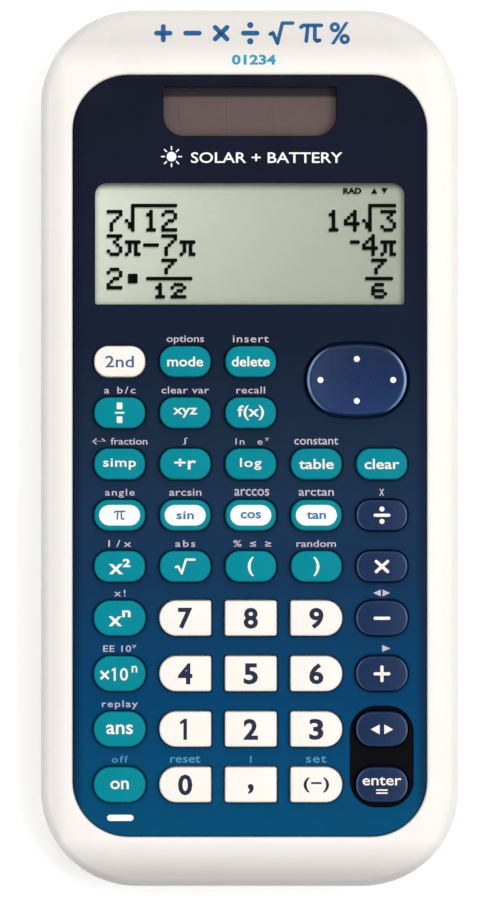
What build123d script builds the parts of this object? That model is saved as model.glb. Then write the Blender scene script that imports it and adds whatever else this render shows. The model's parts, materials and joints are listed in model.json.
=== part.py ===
from build123d import *
import os
from math import cos, hypot, radians, sin

# A hand-held calculator: a white two-piece case, a dark keypad plate, 41 sprung keys, a rocking
# navigation pad, a display with its clear window, a solar cell, and the board and battery inside.
# Millimetres. It lies on its back: +X to its right, +Y towards its display end, +Z out of its face.
# The origin is the middle of the plane that its four rubber feet stand on.

# ---- driving dimensions: the case ----
CASE_WIDTH = 82.0
CASE_LENGTH = 171.8
CASE_CORNER = 18.85
WALL = 1.8
FOOT_PROUD = 0.6
PART_LINE = 8.6
FACE_TOP = 16.8
FRONT_ARCS = (12.0, 2.5, 71.0)  # big radius, small radius, degrees where the two arcs meet
REAR_ARCS = (10.0, 3.0, 60.0)
RING_DEPTH = 14.0  # how far in from the outline the swept edge of a case half reaches

# ---- the keypad plate ----
PLATE_WIDTH = 69.1
PLATE_LENGTH = 148.8
PLATE_CORNER = 10.8
PLATE_Y = -1.5
PLATE_TOP = 16.4
PLATE_LOW = 14.6
PLATE_GAP = 0.12
RIM_OUT = 1.4
RIM_IN = 0.8
RIM_LOW = 13.4
RIM_TOP = FACE_TOP - WALL - 0.1
EDGE_FILLET = 0.5
HOLE_CHAMFER = 0.18

# ---- windows in the plate, and what lies under them ----
DISPLAY_SIZE = (60.5, 23.8)
DISPLAY_Y = 40.0
DISPLAY_RADII = (0.4, 2.4)  # lower corners, upper corners
SOLAR_SIZE = (33.8, 9.6)
SOLAR_Y = 65.85
SOLAR_RADII = (4.1, 0.4)
DISPLAY_LEVELS = (14.9, 15.4, 15.9)  # its window: underside, top of its ledge, top
SOLAR_LEVELS = (14.1, PLATE_LOW - 0.1, 15.6)
LEDGE_OUT = 1.1
LCD_WIDTH = 62.4
LCD_Y = (27.0, 55.2)
LCD_CONTACTS = 2.6  # how far the front glass stands past the rear glass, where its contacts are
LCD_LEVELS = (12.75, 13.8, 14.85)
LCD_POCKET = (63.4, 28.9, 15.5)  # the plate is hollowed from below to this level over the display
CELL_SIZE = (37.0, 11.2, 1.1)
CELL_TOP = 14.0

# ---- the keys ----
COLUMNS = [-25.4 + 12.8 * n for n in range(5)]
UPPER_ROWS = [16.9 - 10.0 * n for n in range(5)]
LOWER_ROWS = [-33.2 - 10.84 * n for n in range(4)]
UPPER_KEY = (9.9, 6.0)
LOWER_KEY = (10.1, 6.85)
UPPER_ROUND = 2.75
LOWER_ROUND = 3.3
SQUARE_ROUND = 0.45
KEY_TOP = 17.95
KEY_CROWN = 60.0
KEY_FILLET = 0.4
KEY_GAP = 0.2
KEY_FLANGE = (13.65, 14.45)
FLANGE_OUT = 0.6
PLUNGER_RADIUS = 2.0

# ---- the navigation pad ----
PAD_X, PAD_Y = 20.9, 13.3
PAD_SIZE = (19.6, 14.1)
PAD_END_RADIUS = 6.85
PAD_TOP = 18.2
PAD_DISH = 80.0
PAD_HOLLOW = 0.6
PAD_FILLET = 0.8
PAD_GAP = 0.5
PAD_FLANGE = (12.8, 13.5)
PAD_WALL = 1.6
PAD_ROOF = 16.2
PAD_BOSS = 3.0
PAD_STEMS = [(6.2, 0.0), (-6.2, 0.0), (0.0, 4.8), (0.0, -4.8)]
PAD_STEM_RADIUS = 1.1
BEAD_RADIUS = 1.75
BEAD_Z = 12.4
BEAD_STEM = 0.9
SOCKET_GAP = 0.05

# ---- board, key mat and battery ----
BOARD_SIZE = (65.2, 132.0)
BOARD_Y = -7.0
BOARD = (8.2, 9.4)
MAT_SIZE = (64.0, 93.6)
MAT_Y = -26.2
MAT_TOP = 10.1
DOME_TOP = 11.9
DOME_RADII = (3.1, 2.3)
DOME_WALL = 0.55
PILL_RADIUS = 1.3
SMALL_DOME = 0.62  # the pad's four domes against a key's
CELL_XY = (0.0, 36.0)
COIN_RADIUS = 10.0
COIN_HEIGHT = 3.2
COIN_TOP = 7.9
CLIP_WIDTH = 6.0
CLIP_THICK = 0.3

# ---- fasteners and feet ----
CORNER_POSTS = [(26.0, 79.3), (-26.0, 79.3), (23.0, -80.2), (-23.0, -80.2)]
MIDDLE_POSTS = [(31.0, 23.1), (-31.0, 23.1)]
POST_RADIUS = 3.3
BOSS_RADIUS = 2.2
SCREW_RADIUS = 1.0
SCREW_HEAD = (2.1, 1.5)
SCREW_SEAT = 4.4
SCREW_TIP = 12.4
PEGS = [(x, y) for x in (-19.0, 19.4) for y in (-8.1, -28.25, -49.7)]
PEG_RADIUS = 0.8
FEET = [(x, y) for x in (-29.0, 29.0) for y in (-68.0, 68.0)]
FOOT_RADIUS = 4.5
FOOT_SEAT = 0.9
RAIL = (5.3, 6.5)  # the slide-on cover's groove in each long side: lower and upper face
RAIL_DEPTH = 0.8
RAIL_Y = (-62.0, 86.0)

# Each key: name, column, row, outline. The rows run from 0 under the display to 8 at the bottom.
KEYS = [
    ("key_second", 0, 0, "capsule"),
    ("key_mode", 1, 0, "capsule"),
    ("key_delete", 2, 0, "capsule"),
    ("key_fraction", 0, 1, "capsule"),
    ("key_variable", 1, 1, "capsule"),
    ("key_function", 2, 1, "capsule"),
    ("key_simplify", 0, 2, "capsule"),
    ("key_integer_divide", 1, 2, "capsule"),
    ("key_logarithm", 2, 2, "capsule"),
    ("key_table", 3, 2, "capsule"),
    ("key_clear", 4, 2, "capsule"),
    ("key_pi", 0, 3, "capsule"),
    ("key_sine", 1, 3, "capsule"),
    ("key_cosine", 2, 3, "capsule"),
    ("key_tangent", 3, 3, "capsule"),
    ("key_divide", 4, 3, "capsule"),
    ("key_square", 0, 4, "capsule"),
    ("key_root", 1, 4, "capsule"),
    ("key_open_bracket", 2, 4, "capsule"),
    ("key_close_bracket", 3, 4, "capsule"),
    ("key_times", 4, 4, "capsule"),
    ("key_power", 0, 5, "capsule"),
    ("key_7", 1, 5, "round_left"),
    ("key_8", 2, 5, "square"),
    ("key_9", 3, 5, "round_right"),
    ("key_minus", 4, 5, "capsule"),
    ("key_ten_power", 0, 6, "capsule"),
    ("key_4", 1, 6, "round_left"),
    ("key_5", 2, 6, "square"),
    ("key_6", 3, 6, "round_right"),
    ("key_plus", 4, 6, "capsule"),
    ("key_answer", 0, 7, "capsule"),
    ("key_1", 1, 7, "round_left"),
    ("key_2", 2, 7, "square"),
    ("key_3", 3, 7, "round_right"),
    ("key_toggle", 4, 7, "capsule"),
    ("key_on", 0, 8, "capsule"),
    ("key_0", 1, 8, "round_left"),
    ("key_comma", 2, 8, "square"),
    ("key_negate", 3, 8, "round_right"),
    ("key_enter", 4, 8, "capsule"),
]
SURROUND_SIZE = (12.5, 19.9)  # the sunk field round the toggle and enter keys
SURROUND_CORNER = 5.2
SURROUND_DEPTH = 0.25


# ---- outlines ----
def outline(size, radii, side=Axis.X, grow=0.0):
    """A rectangle with one corner radius on its low side and another on its high side, grown all round."""
    sketch = Rectangle(size[0] + 2 * grow, size[1] + 2 * grow)
    low = sketch.vertices().group_by(side)[0]
    sketch = fillet(low, radii[0] + grow)
    high = sketch.vertices().group_by(side)[-1]
    return fillet(high, radii[1] + grow)


def oval(size, end, grow=0.0):
    """A four-centred oval: two ends of radius end, joined by two long arcs that meet them smoothly."""
    half_w, half_h = size[0] / 2, size[1] / 2
    centre = half_w - end
    long_arc = (centre**2 + half_h**2 - end**2) / (2 * (half_h - end))
    span = hypot(centre, long_arc - half_h)
    meet_x = centre + (end + grow) * centre / span
    meet_y = (end + grow) * (long_arc - half_h) / span
    corners = [(meet_x, meet_y), (-meet_x, meet_y), (-meet_x, -meet_y), (meet_x, -meet_y)]
    middles = [(0, half_h + grow), (-half_w - grow, 0), (0, -half_h - grow), (half_w + grow, 0)]
    arcs = Curve() + [
        ThreePointArc(corners[n], middles[n], corners[(n + 1) % 4]) for n in range(4)
    ]
    return make_face(arcs)


def slab(sketch, low, high):
    """The sketch as a plate between two levels."""
    return extrude(Pos(0, 0, low) * sketch, amount=high - low)


def post(x, y, radius, low, high):
    return Pos(x, y, (low + high) / 2) * Cylinder(radius, high - low)


def block(x, y, low, high, size):
    return Pos(x, y, (low + high) / 2) * Box(size[0], size[1], high - low)


# ---- the case ----
def case_half(inset, flat, parting, arcs, up):
    """One half of the case as a full block, inset from the outline. Its edge turns over in two
    tangent arcs: a tight one next to the side wall and a wide one next to the flat face."""
    wide, tight, meet = arcs[0] - inset, arcs[1] - inset, radians(arcs[2])
    face = flat - up * inset
    edge = flat - up * (arcs[0] - (arcs[0] - arcs[1]) * sin(meet))
    size = (CASE_WIDTH - 2 * inset, CASE_LENGTH - 2 * inset, CASE_CORNER - inset)

    def on_tight(angle):
        return (tight * (1 - cos(angle)), edge + up * tight * sin(angle))

    meeting = on_tight(meet)
    centre = (meeting[0] + wide * cos(meet), meeting[1] - up * wide * sin(meet))
    half_way = (meet + radians(90)) / 2
    on_wide = (centre[0] - wide * cos(half_way), centre[1] + up * wide * sin(half_way))
    top = (centre[0], face)
    profile = Curve() + [
        Line((0, parting), (0, edge)),
        ThreePointArc((0, edge), on_tight(meet / 2), meeting),
        ThreePointArc(meeting, on_wide, top),
        Polyline(top, (RING_DEPTH, face), (RING_DEPTH, parting), (0, parting)),
    ]
    path = RectangleRounded(*size).face().outer_wire()
    along = path % 0
    inward = Vector(0, 0, 1).cross(along)
    start = Plane(origin=path @ 0, x_dir=inward, z_dir=along)
    ring = sweep(start * make_face(profile), path=path)
    core = RectangleRounded(size[0] - 2 * RING_DEPTH + 1, size[1] - 2 * RING_DEPTH + 1, 4)
    return ring + slab(core, min(parting, face), max(parting, face))


def case_outline(inset):
    return RectangleRounded(CASE_WIDTH - 2 * inset, CASE_LENGTH - 2 * inset, CASE_CORNER - inset)


def plate_outline(grow=0.0):
    return Pos(0, PLATE_Y) * RectangleRounded(
        PLATE_WIDTH + 2 * grow, PLATE_LENGTH + 2 * grow, PLATE_CORNER + grow
    )


def front_bezel():
    """The white front half: a crowned frame round the keypad plate, with four screw bosses."""
    boss_top = FACE_TOP - WALL + 0.2
    shell = case_half(0, FACE_TOP, PART_LINE, FRONT_ARCS, 1)
    shell -= case_half(WALL, FACE_TOP, PART_LINE, FRONT_ARCS, 1)
    shell -= slab(plate_outline(PLATE_GAP), PART_LINE, FACE_TOP)
    inner_edge = shell.edges().filter_by_position(Axis.Z, FACE_TOP - 0.01, FACE_TOP + 0.01)
    reach = PLATE_WIDTH / 2 + PLATE_GAP + 0.01
    inner_edge = inner_edge.filter_by(lambda e: abs((e @ 0.5).X) < reach)
    inner_edge = inner_edge.filter_by(
        lambda e: abs((e @ 0.5).Y - PLATE_Y) < PLATE_LENGTH / 2 + PLATE_GAP + 0.01
    )
    shell = fillet(inner_edge, EDGE_FILLET)
    for x, y in CORNER_POSTS:
        shell += post(x, y, BOSS_RADIUS, PART_LINE + 0.1, boss_top)
        shell += block(x, (abs(y) + 2.4) * (1 if y > 0 else -1), PART_LINE + 2, boss_top, (0.9, 4.4))
    for x, y in CORNER_POSTS:
        shell -= post(x, y, SCREW_RADIUS + 0.05, PART_LINE, SCREW_TIP + 0.6)
    return shell


def rear_cover():
    """The white rear half: a tray with a tongue inside the front half, screw posts and foot seats."""
    floor = FOOT_PROUD + WALL
    shell = case_half(0, FOOT_PROUD, PART_LINE, REAR_ARCS, -1)
    shell -= case_half(WALL, FOOT_PROUD, PART_LINE, REAR_ARCS, -1)
    tongue = slab(case_outline(WALL - 0.1), PART_LINE - 1.4, PART_LINE)
    tongue += slab(case_outline(WALL + 0.15), PART_LINE - 0.1, PART_LINE + 1.4)
    tongue -= slab(case_outline(WALL + 0.95), PART_LINE - 2, PART_LINE + 2)
    shell += tongue
    for y in (-60.0, -20.0, 8.0, 62.0):
        shell += block(0, y, floor - 0.1, floor + 1.6, (CASE_WIDTH - 2 * WALL - 4, 0.9))
    for x in (-12.0, 12.0):
        shell += block(x, -26.0, floor - 0.1, floor + 1.6, (0.9, 68.0))
    for x, y in CORNER_POSTS:
        shell += post(x, y, POST_RADIUS, floor - 0.1, PART_LINE - 0.1)
    for x, y in MIDDLE_POSTS:
        shell += post(x, y, POST_RADIUS, floor - 0.1, BOARD[0] - 0.1)
    for x, y in CORNER_POSTS + MIDDLE_POSTS:
        shell -= post(x, y, SCREW_HEAD[0] + 0.35, 0, SCREW_SEAT)
        shell -= post(x, y, SCREW_RADIUS + 0.2, SCREW_SEAT - 0.1, PART_LINE)
    for x, y in FEET:
        shell -= post(x, y, FOOT_RADIUS + 0.1, 0, FOOT_PROUD + FOOT_SEAT)
    shell -= slab(Pos(0, 30) * RectangleRounded(44, 24, 2), 0, FOOT_PROUD + 0.3)
    for side in (-1, 1):
        x = side * (CASE_WIDTH / 2)
        long = (2 * RAIL_DEPTH, RAIL_Y[1] - RAIL_Y[0])
        shell -= block(x, sum(RAIL_Y) / 2, RAIL[0], RAIL[1], long)
    return shell


def case_screws():
    """Six cross-head screws, put in from the back."""
    head_radius, head_height = SCREW_HEAD
    screw = post(0, 0, SCREW_RADIUS, SCREW_SEAT - 0.1, SCREW_TIP)
    head = post(0, 0, head_radius, SCREW_SEAT - head_height, SCREW_SEAT)
    head = fillet(head.edges().group_by(Axis.Z)[0], 0.5)
    screw += head
    for size in ((2.4, 0.55), (0.55, 2.4)):
        screw -= block(0, 0, 0, SCREW_SEAT - head_height + 0.9, size)
    tip = screw.edges().group_by(Axis.Z)[-1]
    screw = chamfer(tip, 0.4)
    return [Pos(x, y) * screw for x, y in CORNER_POSTS + MIDDLE_POSTS]


def rubber_feet():
    foot = post(0, 0, FOOT_RADIUS, 0, FOOT_PROUD + FOOT_SEAT)
    foot = fillet(foot.edges().group_by(Axis.Z)[0], 0.4)
    return [Pos(x, y) * foot for x, y in FEET]


# ---- the keypad plate and its windows ----
def key_sketch(column, row, shape, grow=0.0):
    """A key's outline at its place on the plate."""
    upper = row < len(UPPER_ROWS)
    size = UPPER_KEY if upper else LOWER_KEY
    y = (UPPER_ROWS + LOWER_ROWS)[row]
    full = UPPER_ROUND if upper else LOWER_ROUND
    radii = {
        "capsule": (full, full),
        "round_left": (full, SQUARE_ROUND),
        "round_right": (SQUARE_ROUND, full),
        "square": (SQUARE_ROUND, SQUARE_ROUND),
    }[shape]
    return Pos(COLUMNS[column], y) * outline(size, radii, grow=grow)


def pad_sketch(grow=0.0):
    return Pos(PAD_X, PAD_Y) * oval(PAD_SIZE, PAD_END_RADIUS, grow)


def display_sketch(grow=0.0):
    return Pos(0, DISPLAY_Y) * outline(DISPLAY_SIZE, DISPLAY_RADII, Axis.Y, grow)


def solar_sketch(grow=0.0):
    return Pos(0, SOLAR_Y) * outline(SOLAR_SIZE, SOLAR_RADII, Axis.Y, grow)


def faceplate():
    """The dark keypad plate, with its rim under the bezel, its openings, two screw bosses, six
    staked pegs that carry the board, and a pocket for the solar cell."""
    plate = slab(plate_outline(), PLATE_LOW, PLATE_TOP)
    plate = fillet(plate.edges().group_by(Axis.Z)[-1], EDGE_FILLET)
    surround_y = (LOWER_ROWS[2] + LOWER_ROWS[3]) / 2
    surround = RectangleRounded(*SURROUND_SIZE, SURROUND_CORNER)
    plate -= slab(Pos(COLUMNS[4], surround_y) * surround, PLATE_TOP - SURROUND_DEPTH, PLATE_TOP)
    holes = [key_sketch(column, row, shape, KEY_GAP) for _, column, row, shape in KEYS]
    holes += [pad_sketch(PAD_GAP), display_sketch(), solar_sketch()]
    plate -= [slab(hole, PLATE_LOW - 1, PLATE_TOP + 1) for hole in holes]
    levels = (PLATE_TOP, PLATE_TOP - SURROUND_DEPTH)
    margin = PLATE_WIDTH / 2 - 2
    rims = [
        e
        for e in plate.edges()
        if any(abs(v.Z - z) < 1e-4 and abs((e @ 0).Z - z) < 1e-4 for z in levels for v in [e @ 1])
        and abs((e @ 0.5).X) < margin
        and abs((e @ 0.5).Y - PLATE_Y) < PLATE_LENGTH / 2 - 2
        and not on_surround(e)
    ]
    plate = chamfer(rims, HOLE_CHAMFER)
    rim = slab(plate_outline(RIM_OUT), RIM_LOW, RIM_TOP)
    rim -= slab(plate_outline(-RIM_IN), RIM_LOW, PLATE_LOW)
    rim -= slab(plate_outline(-0.05), PLATE_LOW, RIM_TOP)
    plate += rim
    lcd_middle = sum(LCD_Y) / 2
    plate -= block(0, lcd_middle, PLATE_LOW - 0.1, LCD_POCKET[2], LCD_POCKET[:2])
    pocket = block(0, SOLAR_Y + 0.1, 12.0, PLATE_LOW + 0.1, (CELL_SIZE[0] + 2.2, CELL_SIZE[1] + 0.4))
    pocket -= block(0, SOLAR_Y + 0.1, 12.0, PLATE_LOW + 0.1, (CELL_SIZE[0] + 0.2, CELL_SIZE[1] + 2))
    plate += pocket
    for x, y in MIDDLE_POSTS:
        plate += post(x, y, BOSS_RADIUS, PART_LINE, PLATE_LOW + 0.1)
        plate -= post(x, y, SCREW_RADIUS + 0.05, PART_LINE, SCREW_TIP + 0.6)
    for x, y in PEGS:
        plate += post(x, y, PEG_RADIUS, BOARD[0] - 0.1, PLATE_LOW + 0.1)
        plate += post(x, y, PEG_RADIUS + 0.6, BOARD[0] - 0.5, BOARD[0] - 0.05)
    return plate


def on_surround(edge):
    """Whether an edge lies on the outline of the sunk field round the toggle and enter keys."""
    middle = edge @ 0.5
    y = middle.Y - (LOWER_ROWS[2] + LOWER_ROWS[3]) / 2
    x = middle.X - COLUMNS[4]
    inside = abs(x) < SURROUND_SIZE[0] / 2 + 0.01 and abs(y) < SURROUND_SIZE[1] / 2 + 0.01
    return inside and abs(middle.Z - PLATE_TOP) < 0.01


def window(sketch_at, size, centre_y, levels):
    """A clear window from the inside: a step that fills the opening on a ledge under the plate."""
    pane = slab(sketch_at(-0.1), levels[0], levels[2])
    ledge = RectangleRounded(size[0] + 2 * LEDGE_OUT, size[1] + 2 * LEDGE_OUT, 1.0)
    return pane + slab(Pos(0, centre_y) * ledge, levels[0], levels[1])


def display_window():
    return window(display_sketch, DISPLAY_SIZE, DISPLAY_Y, DISPLAY_LEVELS)


def solar_window():
    return window(solar_sketch, SOLAR_SIZE, SOLAR_Y, SOLAR_LEVELS)


def solar_cell():
    return block(0, SOLAR_Y + 0.1, CELL_TOP - CELL_SIZE[2], CELL_TOP, CELL_SIZE)


def lcd_glass():
    """The display's two glasses. The front one stands past the rear one at the top, over its contacts."""
    low, middle, high = LCD_LEVELS
    rear_top = LCD_Y[1] - LCD_CONTACTS
    front = block(0, sum(LCD_Y) / 2, middle, high, (LCD_WIDTH, LCD_Y[1] - LCD_Y[0]))
    rear = block(0, (LCD_Y[0] + rear_top) / 2, low, middle - 0.02, (LCD_WIDTH, rear_top - LCD_Y[0]))
    return [front, rear]


def lcd_holder():
    """The frame that locates the display over the board."""
    wall, gap = 1.3, 0.1
    width = LCD_WIDTH + 2 * (wall + gap)
    length = LCD_Y[1] - LCD_Y[0] + 2 * (wall + gap)
    y = sum(LCD_Y) / 2
    top = PLATE_LOW - 0.1
    frame = slab(Pos(0, y) * RectangleRounded(width, length, 1.2), BOARD[1] + 0.05, top)
    frame -= block(0, y, BOARD[1], top, (width - 2 * wall, length - 2 * wall))
    shelf = LCD_LEVELS[0] - 0.05
    for x in (-1, 1):
        frame += block(x * (LCD_WIDTH / 2 - 0.4), y, shelf - 0.9, shelf, (1.6, 14.0))
    return frame


def lcd_connector():
    """The elastomeric strip between the display's contacts and the board."""
    y = LCD_Y[1] - LCD_CONTACTS / 2
    return block(0, y, BOARD[1], LCD_LEVELS[1], (LCD_WIDTH - 6, LCD_CONTACTS - 0.6))


# ---- the keys and the pad ----
def crowned(sketch, low, top, radius, edge, middle):
    """A key cap: the sketch from low to top, cut to a shallow dome with a rounded edge."""
    dome = Pos(middle[0], middle[1], top - radius) * Sphere(radius)
    cap = slab(sketch, low, top + 1) & dome
    rim = [e for e in cap.edges() if min((e @ 0).Z, (e @ 1).Z, (e @ 0.5).Z) > low + 1]
    rim = [e for e in rim if abs((e @ 0).Z - (e @ 1).Z) < 0.6]
    return fillet(rim, edge)


def key(column, row, shape):
    """One key: its crowned cap, the flange that stops it under the plate, and its plunger."""
    x, y = COLUMNS[column], (UPPER_ROWS + LOWER_ROWS)[row]
    cap = crowned(
        key_sketch(column, row, shape), KEY_FLANGE[0], KEY_TOP, KEY_CROWN, KEY_FILLET, (x, y)
    )
    cap += slab(key_sketch(column, row, shape, FLANGE_OUT), *KEY_FLANGE)
    cap += post(x, y, PLUNGER_RADIUS, DOME_TOP + 0.05, KEY_FLANGE[0] + 0.1)
    return cap


def navigation_pad():
    """The rocking pad: an oval cap with a dished top, a socket for its bead and a stem over each dome."""
    cap = slab(pad_sketch(), PAD_FLANGE[0], PAD_TOP + 1)
    cap -= Pos(PAD_X, PAD_Y, PAD_TOP - PAD_HOLLOW + PAD_DISH) * Sphere(PAD_DISH)
    lowest = PAD_TOP - PAD_HOLLOW / 2 - 0.1
    rim = [e for e in cap.edges() if min((e @ 0).Z, (e @ 0.5).Z, (e @ 1).Z) > lowest]
    cap = fillet(rim, PAD_FILLET)
    cap += slab(pad_sketch(FLANGE_OUT), *PAD_FLANGE)
    cap -= slab(pad_sketch(-PAD_WALL), PAD_FLANGE[0], PAD_ROOF)
    cap += post(PAD_X, PAD_Y, PAD_BOSS, BEAD_Z, PAD_ROOF + 0.1)
    for x, y in PAD_STEMS:
        cap += post(PAD_X + x, PAD_Y + y, PAD_STEM_RADIUS, DOME_TOP + 0.05, PAD_ROOF + 0.1)
    return cap - Pos(PAD_X, PAD_Y, BEAD_Z) * Sphere(BEAD_RADIUS + SOCKET_GAP)


def pad_pivot():
    """The bead that the pad rocks on, on a short stem that stands on the board through the mat."""
    bead = Pos(PAD_X, PAD_Y, BEAD_Z) * Sphere(BEAD_RADIUS)
    return bead + post(PAD_X, PAD_Y, BEAD_STEM, BOARD[1] + 0.1, BEAD_Z)


def key_mat():
    """The silicone mat: a sheet with a hollow dome and a contact pill under each key."""
    sheet = slab(Pos(0, MAT_Y) * RectangleRounded(*MAT_SIZE, 1.5), BOARD[1], MAT_TOP)
    spots = [(COLUMNS[c], (UPPER_ROWS + LOWER_ROWS)[r], 1.0) for _, c, r, _ in KEYS]
    spots += [(PAD_X + x, PAD_Y + y, SMALL_DOME) for x, y in PAD_STEMS]
    outer, inner, pills = [], [], []
    height = DOME_TOP - MAT_TOP
    hollow = DOME_TOP - DOME_WALL - BOARD[1]
    for x, y, scale in spots:
        wide, narrow = DOME_RADII[0] * scale, DOME_RADII[1] * scale
        outer.append(Pos(x, y, MAT_TOP - 0.05 + height / 2) * Cone(wide, narrow, height + 0.1))
        low, high = wide - DOME_WALL, narrow - DOME_WALL * 0.8
        inner.append(Pos(x, y, BOARD[1] + hollow / 2) * Cone(low, high, hollow))
        pills.append(post(x, y, PILL_RADIUS * scale, BOARD[1] + 0.9, DOME_TOP - 0.1))
    sheet = sheet + outer - inner + pills
    sheet -= [post(x, y, PEG_RADIUS + 0.3, BOARD[1] - 1, MAT_TOP + 1) for x, y in PEGS]
    return sheet - post(PAD_X, PAD_Y, BEAD_RADIUS + 0.25, BOARD[1] - 1, MAT_TOP + 1)


# ---- the electronics ----
def main_board():
    board = slab(Pos(0, BOARD_Y) * RectangleRounded(*BOARD_SIZE, 2.0), *BOARD)
    board -= [post(x, y, PEG_RADIUS + 0.1, BOARD[0] - 1, BOARD[1] + 1) for x, y in PEGS]
    board -= [post(x, y, BOSS_RADIUS + 0.3, BOARD[0] - 1, BOARD[1] + 1) for x, y in MIDDLE_POSTS]
    return board


def board_components():
    """What is soldered under the board: the chip's drop of resin, a crystal, a capacitor, resistors."""
    under = BOARD[0]
    chip_x, chip_y, chip_radius, chip_height = -5.0, -12.0, 6.0, 1.5
    sphere = (chip_radius**2 + chip_height**2) / (2 * chip_height)
    drop = Pos(chip_x, chip_y, under - chip_height + sphere) * Sphere(sphere)
    drop &= block(chip_x, chip_y, under - chip_height, under, (2 * chip_radius, 2 * chip_radius))
    crystal = Pos(9.0, -10.0, under - 1.0) * Rot(0, 90, 0) * Cylinder(1.0, 6.0)
    capacitor = post(18.0, -4.0, 2.0, under - 4.2, under)
    capacitor = fillet(capacitor.edges().group_by(Axis.Z)[0], 0.3)
    chips = [block(-20.0 + 4.0 * n, -36.0, under - 0.55, under, (2.0, 1.25)) for n in range(5)]
    chips += [block(14.0, -18.0 - 3.0 * n, under - 0.8, under, (2.0, 1.25)) for n in range(3)]
    return [drop, crystal, capacitor] + chips


def solar_leads():
    """Two insulated wires from the back of the solar cell to the board."""
    radius = 0.45
    high, low = CELL_TOP - CELL_SIZE[2] - radius, BOARD[1] + radius
    leads = []
    for x in (-12.0, 12.0):
        route = [(x, 65.0, high), (x, 60.6, high), (x, 59.7, low), (x, 57.6, low)]
        path = FilletPolyline(*route, radius=0.8)
        section = Plane(origin=path @ 0, z_dir=path % 0) * Circle(radius)
        leads.append(sweep(section, path=path))
    return leads


def coin_cell():
    x, y = CELL_XY
    rim = 1.4
    cell = post(x, y, COIN_RADIUS, COIN_TOP - COIN_HEIGHT, COIN_TOP - 0.4)
    cell += post(x, y, COIN_RADIUS - rim, COIN_TOP - 0.5, COIN_TOP)
    return fillet(cell.edges().group_by(Axis.Z)[0], 0.5)


def battery_clips():
    """The strap that holds the cell to the board and is its positive contact, and the negative plate."""
    x, y = CELL_XY
    under = COIN_TOP - COIN_HEIGHT
    reach = COIN_RADIUS + 0.2
    strap = block(x, y, under - CLIP_THICK, under, (2 * (reach + CLIP_THICK), CLIP_WIDTH))
    for side in (-1, 1):
        leg_x = x + side * (reach + CLIP_THICK / 2)
        strap += block(leg_x, y, under - CLIP_THICK, BOARD[0], (CLIP_THICK, CLIP_WIDTH))
        tab_x = x + side * (reach + CLIP_THICK + 1.0)
        strap += block(tab_x, y, BOARD[0] - CLIP_THICK, BOARD[0], (2.2, CLIP_WIDTH))
    negative = block(x, y, COIN_TOP, BOARD[0], (7.0, 5.0))
    return [strap, negative]


def write(name, made):
    solids = made if isinstance(made, list) else [made]
    shape = Compound(children=[s for item in solids for s in item.solids()])
    export_step(shape, f"parts/{name}.step")


PIECES = {
    "front_bezel": front_bezel,
    "rear_cover": rear_cover,
    "case_screws": case_screws,
    "rubber_feet": rubber_feet,
    "faceplate": faceplate,
    "display_window": display_window,
    "solar_window": solar_window,
    "solar_cell": solar_cell,
    "solar_leads": solar_leads,
    "lcd_glass": lcd_glass,
    "lcd_holder": lcd_holder,
    "lcd_connector": lcd_connector,
    "key_mat": key_mat,
    "navigation_pad": navigation_pad,
    "pad_pivot": pad_pivot,
    "main_board": main_board,
    "board_components": board_components,
    "coin_cell": coin_cell,
    "battery_clips": battery_clips,
}

os.makedirs("parts", exist_ok=True)
for piece_name, make in PIECES.items():
    write(piece_name, make())
for key_name, column, row, shape in KEYS:
    write(key_name, key(column, row, shape))
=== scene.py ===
import bmesh
import bpy
import json
from math import atan2, cos, degrees, hypot, pi, radians, sin
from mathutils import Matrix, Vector
from mathutils.bvhtree import BVHTree


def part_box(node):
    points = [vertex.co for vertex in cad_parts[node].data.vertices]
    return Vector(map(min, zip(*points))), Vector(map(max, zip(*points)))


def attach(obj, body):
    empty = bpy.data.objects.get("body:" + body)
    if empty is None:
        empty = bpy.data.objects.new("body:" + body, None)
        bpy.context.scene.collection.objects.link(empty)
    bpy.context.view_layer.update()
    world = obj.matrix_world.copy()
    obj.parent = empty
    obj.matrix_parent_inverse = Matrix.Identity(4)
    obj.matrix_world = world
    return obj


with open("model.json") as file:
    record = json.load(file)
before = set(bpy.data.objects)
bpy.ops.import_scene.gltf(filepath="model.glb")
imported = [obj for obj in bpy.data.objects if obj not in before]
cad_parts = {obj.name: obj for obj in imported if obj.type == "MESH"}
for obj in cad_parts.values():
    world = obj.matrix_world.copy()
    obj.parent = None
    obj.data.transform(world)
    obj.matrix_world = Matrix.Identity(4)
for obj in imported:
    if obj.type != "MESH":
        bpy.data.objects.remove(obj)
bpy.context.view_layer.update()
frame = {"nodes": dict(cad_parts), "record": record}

# Metres throughout, in the frame of the CAD: +X right, +Y towards the display end, +Z out of the face.
MM = 0.001
INK_LIFT = 0.02 * MM  # how far print stands off what it is printed on
CUT_LENGTH = 0.9 * MM  # the longest edge of print on a curved surface
FACE = 16.4 * MM  # the keypad plate's top
STRETCH = 1.32  # how far letters are widened before they are spaced out as well

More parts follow.
